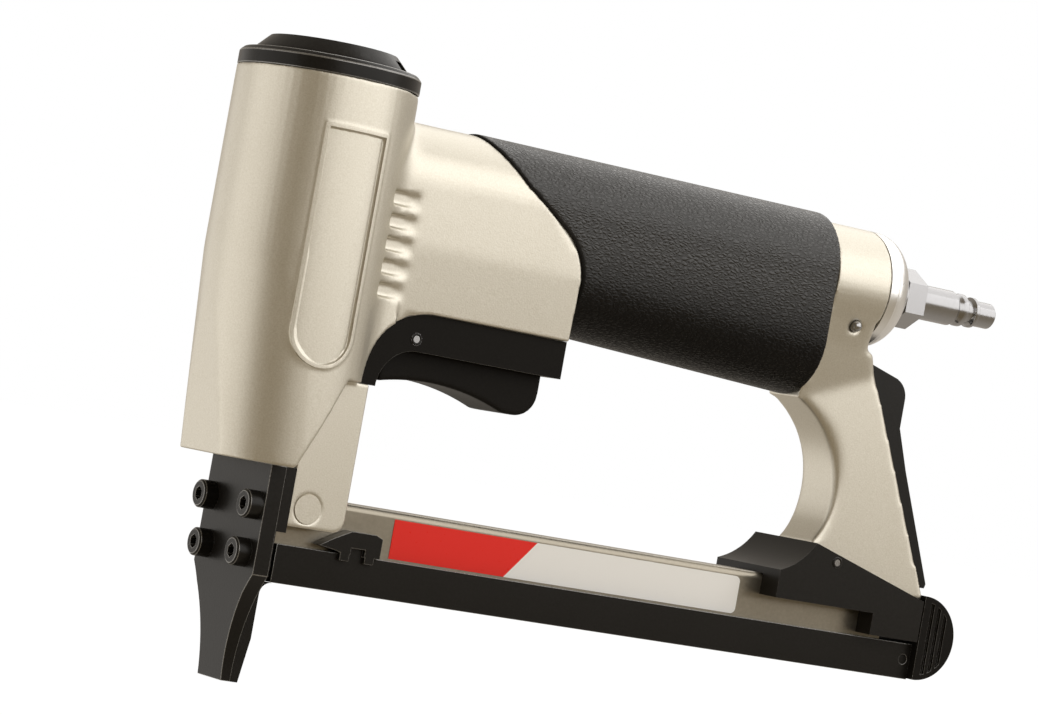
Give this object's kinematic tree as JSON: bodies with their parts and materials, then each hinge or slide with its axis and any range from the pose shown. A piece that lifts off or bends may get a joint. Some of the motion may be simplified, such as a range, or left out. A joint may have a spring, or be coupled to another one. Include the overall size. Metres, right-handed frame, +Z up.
{
  "type": "pneumatic stapler",
  "caption": "Compressed-air upholstery stapler with an upright cylinder head, pistol-style handle, trigger and a bottom-loading magazine that slides out to the rear.",
  "frame": {"origin": "middle of the slot in the nose tip that the staples leave by", "axes": "+X back along the magazine towards the air inlet, +Y to the tool's right side, +Z up along the driver"},
  "size_m": [0.2355, 0.0452, 0.156],
  "materials": {
    "casting": "champagne metallic paint",
    "black_metal": "satin black paint",
    "black_plastic": "satin black",
    "grip": "grained black rubber",
    "rail": "grey-brown satin",
    "polished": "polished",
    "steel": "bright",
    "sleeve": "hard anodised",
    "brass": "turned",
    "seals": "matt"
  },
  "bodies": {
    "frame": {"main_casting": "casting", "cylinder_cap": "black_metal", "exhaust_cover": "black_metal", "cover_screw": "steel", "cap_seal": "seals", "head_valve_spring": "steel", "cylinder_sleeve": "sleeve", "sleeve_seal": "seals", "cylinder_bumper": "seals", "front_plate": "black_metal", "driver_guide": "black_metal", "nose_screws": "black_metal", "trigger_housing": "black_plastic", "trigger_pin": "steel", "trigger_valve": "brass", "valve_seals": "seals", "valve_spring": "steel", "grip_sleeve": "grip", "end_cap": "polished", "end_cap_seal": "seals", "end_cap_pin": "steel", "air_plug": "steel", "magazine_rail": "rail", "rail_pin": "casting", "rear_bracket": "black_metal", "bracket_pin": "steel", "latch_pin": "steel", "latch_spring": "steel"},
    "trigger": {"trigger": "black_plastic"},
    "valve_stem": {"valve_stem": "steel"},
    "driver": {"piston": "steel", "piston_ring": "seals", "piston_pin": "steel", "driver_blade": "steel"},
    "head_valve": {"head_valve": "brass", "head_valve_seal": "seals"},
    "latch": {"latch_lever": "black_metal"},
    "magazine": {"magazine_channel": "black_metal", "stop_clip": "black_metal", "staple_core": "steel", "guide_rod": "steel", "pusher_spring": "steel", "end_pull": "black_plastic", "channel_pin": "steel"},
    "pusher": {"pusher": "steel"}
  },
  "joints": [
    {"name": "trigger_pull", "type": "hinge", "parent": "frame", "child": "trigger", "pos_m": [0.03, 0, 0.0895], "axis": [0, -1, 0], "range_deg": [0, 7.5], "stiffness_Nm_per_rad": 0.15, "springref_deg": -5.73},
    {"name": "valve_stem_slide", "type": "slide", "parent": "frame", "child": "valve_stem", "axis": [0, 0, 1], "range_m": [0, 0.0033], "deforming": ["valve_spring"]},
    {"name": "driver_slide", "type": "slide", "parent": "frame", "child": "driver", "axis": [0, 0, -1], "range_m": [0, 0.0475]},
    {"name": "head_valve_slide", "type": "slide", "parent": "frame", "child": "head_valve", "axis": [0, 0, 1], "range_m": [0, 0.0025], "stiffness_N_per_m": 600, "springref_m": -0.004, "deforming": ["head_valve_spring"]},
    {"name": "latch_press", "type": "hinge", "parent": "frame", "child": "latch", "pos_m": [0.1825, 0, 0.072], "axis": [0, -1, 0], "range_deg": [0, 6], "stiffness_Nm_per_rad": 0.5, "springref_deg": -5.73, "deforming": ["latch_spring"]},
    {"name": "magazine_slide", "type": "slide", "parent": "frame", "child": "magazine", "axis": [1, 0, 0], "range_m": [0, 0.146]},
    {"name": "pusher_slide", "type": "slide", "parent": "magazine", "child": "pusher", "axis": [1, 0, 0], "range_m": [0, 0.095], "stiffness_N_per_m": 30, "springref_m": -0.15, "deforming": ["pusher_spring"]}
  ],
  "couplings": [
    {"joint": "valve_stem_slide", "follows": "trigger_pull", "m_per_rad": 0.024}
  ]
}
